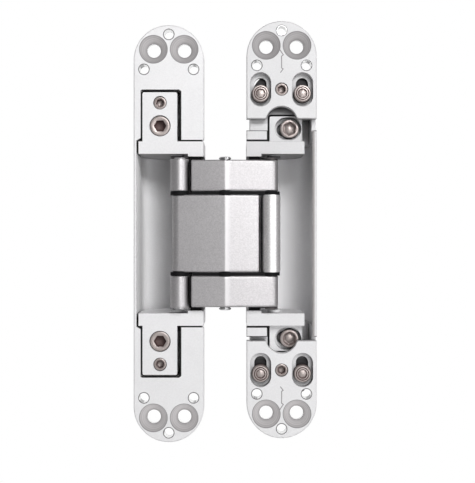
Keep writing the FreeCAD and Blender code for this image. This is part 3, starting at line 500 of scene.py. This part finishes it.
def finish_material(name, colour, metallic, roughness, size=0.3, speckle=0.05, relief=0.1, specular=0.5,
                    edge=0.5, edge_colour=EDGE_COLOUR, bevel=0.4, crevice=1.0, limit=0.46, far=1.0, reach=4.5,
                    middle=FRAME_MIDDLE, holes=False, marks=(), height_shade=None, pocket_light=None, underside_shade=0.0,
                    shades=(), socket_shaded=False, crest_highlight=False):
    """A silver or steel finish from the grain group, with a painted tone along its edges and painted shade in
    its gaps.

    size, bevel and reach are in mm: the grain's, the shaded edge's radius and how far a crevice looks round.
    middle is that of the leaf which the piece belongs to. holes machines the leaf's holes, marks are strokes
    on its face with their colours, height_shade holds the painted tones of the upper and the lower end, and
    pocket_light two places along X with their painted tones. underside_shade lays painted shade on what faces
    down, shades are masks of painted shade, socket_shaded lays painted shade in screw sockets by the mesh's own
    attribute, and crest_highlight paints a highlight on the arms' folded middle.
    """
    material = bpy.data.materials.new(name)
    material.use_nodes = True
    nodes = Nodes(material.node_tree)
    grain = nodes.add("Group", {"node_tree": GRAIN}, Color=colour + (1,), Roughness=roughness, Size=size,
                      Speckle=speckle, Relief=relief).outputs
    shaded_edge = nodes.add("Group", {"node_tree": EDGE}, Amount=edge, Radius=bevel * MM).outputs
    gaps = nodes.add("Group", {"node_tree": CREVICE}, Reach=reach * MM, Amount=crevice, Limit=limit, Far=far)
    tint = nodes.mix(shaded_edge["Edge"], grain["Color"], edge_colour + (1,))
    look = Look(tint, grain["Roughness"], metallic, grain["Normal"], gaps.outputs["Crevice"])
    if holes:
        machine_holes(nodes, look, middle)
    for lines, ink in marks:
        look.tint = nodes.mix(stroke_mask(nodes, middle, lines), look.tint, ink)
    if height_shade:
        tone = nodes.spread(nodes.place()["Z"], -FADE_HALF * MM, FADE_HALF * MM, height_shade[1], height_shade[0])
        look.tint = nodes.scaled(look.tint, tone)
    if pocket_light:
        paint_pocket_light(nodes, look, middle, pocket_light)
    if underside_shade:
        below = nodes.spread(nodes.facing("Z"), -0.95, -0.6, underside_shade, 0.0)
        look.tint = nodes.mix(below, look.tint, PAINTED_SHADE_COLOUR)
    for steps in shades:
        look.tint = nodes.mix(painted_mask(nodes, steps, middle), look.tint, PAINTED_SHADE_COLOUR)
    # Painted shade in screw sockets, grooves and under heads, read from the mesh's own attribute
    if socket_shaded:
        dark = nodes.add("Attribute", {"attribute_name": "socket_shade"}).outputs["Fac"]
        look.tint = nodes.mix(dark, look.tint, SOCKET_SHADE_COLOUR)
        look.rough = nodes.math("MAXIMUM", look.rough, nodes.times(dark, SOCKET_SHADE_FINISH[0]))
        look.shine = nodes.spread(dark, 0.0, 1.0, metallic, SOCKET_SHADE_FINISH[1])
    if crest_highlight:
        paint_crest_highlight(nodes, look, shaded_edge["Rounded"])
    # Painted shade in the crevices, laid over all
    final = nodes.mix(look.gap, look.tint, PAINTED_SHADE_COLOUR)
    shader = nodes.add("BsdfPrincipled", Base_Color=final, Metallic=look.shine, Roughness=look.rough,
                       Normal=look.normal, Specular_IOR_Level=specular)
    nodes.add("OutputMaterial", Surface=shader.outputs[0])
    return material


CAST_LOOK = dict(colour=(0.86, 0.855, 0.865), metallic=0.10, roughness=0.50, size=0.28, speckle=0.03,
                 relief=0.1, edge=0.75, specular=0.15)
BRACKET_LOOK = dict(crevice=0.15, **CAST_LOOK)
# Upper brackets: painted shade on what faces down and just below the flange
UPPER_LOOK = dict(underside_shade=0.5, shades=[UNDER_FLANGE], **BRACKET_LOOK)
SATIN_LOOK = dict(metallic=0.85, roughness=0.42, speckle=0.10, relief=0.25, edge=0.25, limit=0.62, reach=9.0)
ARM_LOOK = dict(crest_highlight=True, bevel=1.0, shades=[BESIDE_KNUCKLE], **SATIN_LOOK)

CAST = finish_material("satin_silver_casting", **CAST_LOOK)
BRACKET_CAST = finish_material("satin_silver_bracket", **BRACKET_LOOK)
UPPER_CAST = finish_material("satin_silver_upper_bracket", **UPPER_LOOK)
# Door brackets with a painted tone, the upper one darker, as painted shade
DOOR_UPPER_CAST = finish_material("satin_silver_upper_door_bracket", height_shade=(0.82, 0.82), **UPPER_LOOK)
DOOR_LOWER_CAST = finish_material("satin_silver_lower_door_bracket", height_shade=(0.92, 0.92), **BRACKET_LOOK)
# The frame leaf's hollow painted lighter by its outer wall and darker by the knuckle, as painted light and
# shade
FRAME_CAST = finish_material("satin_silver_frame_leaf", holes=True, pocket_light=(-14.0, -4.0, 1.16, 0.80),
                             marks=[(FRAME_GAP_SHADOW_LINES, PAINTED_SHADE_COLOUR)], **CAST_LOOK)
DOOR_MARKS = [(DOOR_GAP_SHADOW_AND_SEAM_LINES, PAINTED_SHADE_COLOUR), (DOOR_RIM_LINES, DOOR_RIM_COLOUR)]
# Door body and plates painted darker toward the top, as painted shade
DOOR_CAST = finish_material("satin_silver_door_body", middle=DOOR_MIDDLE, limit=0.55, far=0.7,
                            height_shade=(0.80, 0.95), pocket_light=(57.0, 66.0, 1.45, 1.0), shades=[UNDER_PLATE],
                            marks=DOOR_MARKS, **CAST_LOOK)
PLATE_CAST = finish_material("satin_silver_door_plate", middle=PLATE_MIDDLE, limit=0.66, far=0.25,
                             height_shade=(0.83, 0.98), holes=True, shades=[SLOT_DEPTHS],
                             marks=[(ARROW_LINES, ARROW_COLOUR)], **CAST_LOOK)
ARM = finish_material("satin_silver_arm", (0.54, 0.525, 0.535), **ARM_LOOK)
# The upper arm painted darker than the middle one, as painted shade where the key lamp from above lights it
# more
UPPER_ARM_PAINTED_DARKER = finish_material("satin_silver_upper_arm_painted_darker", (0.505, 0.49, 0.50), **ARM_LOOK)
LINK = finish_material("satin_silver_link", (0.84, 0.825, 0.83), **SATIN_LOOK)
# The screws' edges take a light tone, a painted highlight
SCREW = finish_material("nickel_screw", (0.50, 0.44, 0.42), 0.6, 0.38, size=0.4, speckle=0.06, edge=0.2,
                        edge_colour=(0.85, 0.82, 0.8), socket_shaded=True)
# Link and floating pins painted dark, as painted shade where they sit under the brackets
SHADE_DARKENED_PIN = finish_material("pin_painted_dark", (0.10, 0.09, 0.09), 0.4, 0.6, edge=0.2)
PIN = finish_material("turned_pin", (0.62, 0.62, 0.63), 0.9, 0.3, edge=0.3)
BUSH = finish_material("black_acetal", (0.008, 0.008, 0.009), 0.0, 0.6, specular=0.1, speckle=0.2, relief=0.2,
                       edge_colour=(0.05, 0.05, 0.05))

FINISH_OF_SLOT = {
    "cast_silver": CAST, "arm_silver": ARM, "screw_steel": SCREW, "pin_steel": PIN, "black_bush": BUSH,
}
FINISH_OF_NODE = {
    "frame_housing": FRAME_CAST, "frame_bracket_upper": UPPER_CAST, "frame_bracket_lower": BRACKET_CAST,
    "door_housing": DOOR_CAST, "door_bracket_upper": DOOR_UPPER_CAST, "door_bracket_lower": DOOR_LOWER_CAST,
    "door_plate_upper": PLATE_CAST, "door_plate_lower": PLATE_CAST, "outer_arm_upper": UPPER_ARM_PAINTED_DARKER,
    "door_link": LINK, "door_floating_pin": SHADE_DARKENED_PIN, "door_link_pin": SHADE_DARKENED_PIN, "frame_link_pins": SHADE_DARKENED_PIN,
}
for entry in frame["record"]["subparts"]:
    node = frame["nodes"][entry["node"]]
    node.data.materials.clear()
    node.data.materials.append(FINISH_OF_NODE.get(entry["node"], FINISH_OF_SLOT[entry["material_slot"]]))


# A screw's rows from its point to its socket: radius, depth under the head's top, hexagon share and share of
# painted shade, dark in the socket, the grooves and under the head
DEPTH_ROWS = [
    (4.60, 3.60, 0, 1.0), (4.60, 0.55, 0, 0.6), (4.52, 0.25, 0, 0.1), (4.30, 0.06, 0, 0.0),
    (3.95, 0.00, 0, 0.0), (3.30, 0.00, 0, 0.0), (2.90, 0.10, 0, 0.1), (2.55, 0.14, 1, 0.2),
    (2.45, 0.18, 1, 1.0), (2.38, 2.30, 1, 1.0), (2.10, 2.50, 1, 0.95), (0.90, 2.90, 0, 0.9),
    (0.30, 3.00, 0, 0.9),
]
CLAMP_ROWS = [
    (4.10, 3.20, 0, 1.0), (4.10, 1.30, 0, 0.8), (3.98, 0.80, 0, 0.5), (3.72, 0.36, 0, 0.2),
    (3.50, 0.05, 0, 0.0), (3.22, 0.00, 0, 0.0), (3.12, 0.00, 0, 0.0), (2.96, 0.35, 0, 1.0),
    (2.74, 0.37, 0, 1.0), (2.58, 0.04, 0, 0.0), (2.25, 0.00, 0, 0.0), (2.08, 0.20, 0, 0.8),
    (1.86, 0.30, 1, 0.9), (1.72, 0.80, 1, 0.7), (1.40, 0.75, 1, 0.1), (0.80, 0.50, 0, 0.0),
    (0.30, 0.45, 0, 0.0),
]
SIDE_ROWS = [
    (4.45, 3.30, 0, 1.0), (4.45, 0.90, 0, 0.6), (4.34, 0.45, 0, 0.3), (4.10, 0.14, 0, 0.0),
    (3.85, 0.00, 0, 0.0), (3.30, 0.00, 0, 0.0), (3.12, 0.20, 0, 0.4), (2.78, 0.22, 1, 0.7),
    (2.50, 0.60, 1, 0.7), (2.50, 2.10, 1, 0.6), (2.05, 2.30, 1, 0.2), (1.00, 1.90, 0, 0.0),
    (0.30, 1.80, 0, 0.0),
]
SET_ROWS = [
    (2.98, 0.50, 0, 0.4), (2.80, 0.18, 0, 0.1), (2.55, 0.02, 0, 0.0), (2.20, 0.00, 0, 0.1),
    (2.05, 0.16, 0, 0.6), (1.85, 0.18, 0, 0.4), (1.68, 0.22, 1, 0.8), (1.50, 0.50, 1, 1.0),
    (1.50, 1.90, 1, 0.9), (1.20, 2.00, 1, 0.6), (0.60, 2.20, 0, 0.3), (0.20, 2.25, 0, 0.2),
]
SEGMENTS = 96
SHARP_ANGLE = 32

# Threads, in mm: pitch, depth, rows in a turn, what the plain point and the runout take of the length, and
# the point's two rows, each with how much thinner it is and how far from the end
THREAD_PITCH = 1.0
THREAD_DEPTH = 0.3
THREAD_STEPS = 4
POINT_LENGTH = 0.8
RUNOUT = 0.2
POINT_ROWS = ((0.8, 0.0), (0.2, 0.7))

# Sets of screws, in mm: node, body, depth of the head's top below the leaf's face, rows, shank radius,
# length, and for each screw its place across and along and its socket's turn in radians
FACE = -5.0
FRAME_SCREW_X = -4.0
SCREW_SETS = [
    ("frame_depth_screws", "frame_carrier", 0.4, DEPTH_ROWS, 3.0, 20.0,
     [(FRAME_SCREW_X, side * 49.1, 0.0) for side in (1, -1)]),
    ("frame_lock_screws", "frame_leaf", 0.4, SET_ROWS, 3.0, 18.0,
     [(FRAME_SCREW_X, side * 59.6, 0.3) for side in (1, -1)]),
    ("door_side_screws", "door_leaf", 5.8, SIDE_ROWS, 3.0, 18.0,
     [(DOOR_ACROSS + 4.0, side * 48.6, 0.4) for side in (1, -1)]),
    ("door_clamp_screws", "door_leaf", -0.1, CLAMP_ROWS, 2.5, 14.0,
     [(DOOR_ACROSS + side * 9.55, end * 63.9, 0.2 * side + 0.1 * end)
      for end in (1, -1) for side in (-1, 1)]),
    ("door_height_screws", "door_plates", 0.5, SET_ROWS, 3.0, 4.5,
     [(DOOR_ACROSS, end * 64.0 + PLATE_RISE, 0.5) for end in (1, -1)]),
]


def thread_rows(radius, head_end, length):
    """Rows of a threaded shank from its chamfered end to the head.

    A row is a radius, a depth, and the shares of hexagon, of painted shade and of thread.
    """
    count = int((length - head_end - (POINT_LENGTH + RUNOUT)) / THREAD_PITCH * THREAD_STEPS)
    depths = np.linspace(length - POINT_LENGTH, head_end + RUNOUT, count)
    point = [[radius - thinner, length - back, 0, 1, 0] for thinner, back in POINT_ROWS]
    ones = np.ones(count)
    middle = np.stack([radius * ones, depths, 0 * ones, ones, ones], axis=1)
    return np.concatenate([point, middle, [[radius, head_end, 0, 1, 0]]])


def turned_screw(place, face, head, radius, length, turn):
    """A threaded shank and a turned head with a hexagon socket, as one closed grid of rows and angles.

    A row's radius is R on a circle, and R / cos(a) on a hexagon, where a is the angle from the middle of its
    side. A threaded row is lowered by THREAD_DEPTH times a triangle wave of depth / pitch less the angle's
    share of a turn. Point = place + (r cos t, depth, r sin t).
    """
    head = np.array([row + (0,) for row in head], float)
    rows = np.concatenate([thread_rows(radius, head[0, 1], length), head])
    angle = np.linspace(0, 2 * np.pi, SEGMENTS, endpoint=False)
    hexagon = 1 / np.cos(np.mod(angle - turn, np.pi / 3) - np.pi / 6)
    radii, depth, flat, socket_shade, thread = rows.T[:, :, None]
    wave = np.abs(2 * np.mod(depth / THREAD_PITCH - angle / (2 * np.pi), 1.0) - 1)
    reach = radii * (1 - flat + flat * hexagon) - thread * THREAD_DEPTH * wave
    level = np.broadcast_to(face + depth, reach.shape)
    grid = np.stack([place[0] + reach * np.cos(angle), level, place[1] + reach * np.sin(angle)], axis=2) * MM
    return grid, np.repeat(socket_shade, SEGMENTS, axis=1)


def closed_mesh(name, parts):
    """One mesh from closed grids: quads between neighbours, and a fan to a middle point at each end."""
    points, socket_shades, faces, start = [], [], [], 0
    for grid, socket_shade in parts:
        rows, columns = grid.shape[:2]
        index = start + np.arange(rows * columns).reshape(rows, columns)
        after = np.roll(index, -1, axis=1)
        quads = np.stack([index[:-1], after[:-1], after[1:], index[1:]], axis=2).reshape(-1, 4)
        first, last = start + rows * columns, start + rows * columns + 1
        fans = [np.stack([after[0], index[0], np.full(columns, first)], axis=1),
                np.stack([index[-1], after[-1], np.full(columns, last)], axis=1)]
        points += [grid.reshape(-1, 3), grid[0].mean(axis=0)[None], grid[-1].mean(axis=0)[None]]
        socket_shades += [socket_shade.reshape(-1), socket_shade[0, :1], socket_shade[-1, :1]]
        faces += quads.tolist() + fans[0].tolist() + fans[1].tolist()
        start += rows * columns + 2
    mesh = bpy.data.meshes.new(name)
    mesh.from_pydata(np.concatenate(points), [], faces)
    shares = mesh.attributes.new("socket_shade", "FLOAT", "POINT").data
    shares.foreach_set("value", np.concatenate(socket_shades).astype(np.float32))
    mesh.shade_smooth()
    mesh.set_sharp_from_angle(angle=math.radians(SHARP_ANGLE))
    return mesh


def screw_set(node, body, parts):
    """The finished screws that stand for one CAD node of screws."""
    mesh = closed_mesh(node + "_turned", parts)
    mesh.materials.append(SCREW)
    piece = new_object(node + "_turned", mesh)
    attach(piece, body)
    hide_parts(node)


for node, body, sunk, rows, radius, length, places in SCREW_SETS:
    screw_set(node, body, [turned_screw((across, along), FACE + sunk, rows, radius, length, turn)
                           for across, along, turn in places])


def studio():
    """A world white to the camera and dim to all else but at the back, over a pale floor that turns white."""
    world = bpy.data.worlds.new("white_studio")
    bpy.context.scene.world = world
    world.use_nodes = True
    nodes = Nodes(world.node_tree)
    path = nodes.add("LightPath").outputs
    toward = nodes.add("SeparateXYZ", Vector=nodes.add("TexCoord").outputs["Generated"]).outputs
    side = nodes.spread(toward["X"], -0.8, -0.5, LEFT_SIDE, AMBIENT)
    strength = nodes.math("MAXIMUM", side, nodes.spread(toward["Y"], 0.6, 0.85, 0.0, BACKDROP))
    ambient = nodes.add("Background", Color=(1, 1, 1, 1), Strength=strength).outputs[0]
    white = nodes.add("Background", Color=(1, 1, 1, 1), Strength=1.0).outputs[0]
    both = nodes.add("MixShader", in_0=path["Is Camera Ray"], in_1=ambient, in_2=white).outputs[0]
    nodes.add("OutputWorld", Surface=both)

    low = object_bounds()[0].z - FLOOR_DROP
    mesh = bpy.data.meshes.new("floor")
    corners = [(FLOOR_HALF * x, FLOOR_HALF * y, low) for x, y in ((-1, -1), (1, -1), (1, 1), (-1, 1))]
    mesh.from_pydata(corners, [], [(0, 1, 2, 3)])
    floor = new_object("floor", mesh)
    material = bpy.data.materials.new("pale_floor")
    material.use_nodes = True
    nodes = Nodes(material.node_tree)
    eye = nodes.add("LightPath").outputs["Is Camera Ray"]
    away = nodes.add("VectorMath", {"operation": "LENGTH"}, in_0=nodes.add("TexCoord").outputs["Object"])
    far = nodes.spread(away.outputs["Value"], FLOOR_FADE[0], FLOOR_FADE[1], 0.5, 1.0)
    behind = nodes.spread(nodes.place()["Y"], FLOOR_BACK[0], FLOOR_BACK[1], 0.0, 1.0)
    lit = nodes.math("MAXIMUM", nodes.times(eye, far), behind)
    plain = nodes.add("BsdfDiffuse", Color=(FLOOR_TONE, FLOOR_TONE, FLOOR_TONE, 1)).outputs[0]
    white = nodes.add("Emission", Color=(1, 1, 1, 1), Strength=1.0).outputs[0]
    both = nodes.add("MixShader", in_0=lit, in_1=plain, in_2=white).outputs[0]
    nodes.add("OutputMaterial", Surface=both)
    mesh.materials.append(material)


def lamp(name, place, target, size, power):
    """A rectangular lamp that looks at its target."""
    data = bpy.data.lights.new(name, "AREA")
    data.shape = "RECTANGLE"
    data.size, data.size_y = size
    data.energy = power
    made = new_object(name, data)
    made.location = place
    direction = np.array(target) - np.array(place)
    made.rotation_euler = Vector(direction).to_track_quat("-Z", "Y").to_euler()


def bearing(turn, rise, distance):
    """A place seen from the hinge: turn degrees to the right of straight in front, rise degrees above it."""
    turn, rise = math.radians(turn), math.radians(rise)
    level = distance * math.cos(rise)
    return (HINGE_X + level * math.sin(turn), -level * math.cos(turn), distance * math.sin(rise))


def camera():
    """Straight on, level with the leaves' middle."""
    data = bpy.data.cameras.new("camera")
    data.lens = LENS
    data.sensor_width = SENSOR_WIDTH
    data.clip_start = 0.01
    made = new_object("camera", data)
    made.location = CAMERA_PLACE
    made.rotation_euler = (math.pi / 2, 0, 0)
    bpy.context.scene.camera = made


studio()
for name, turn, rise, size, power in LAMPS:
    lamp(name, bearing(turn, rise, LAMP_DISTANCE), (HINGE_X, 0.0, 0.0), size, power)
camera()
bpy.context.scene.view_settings.view_transform = "Standard"
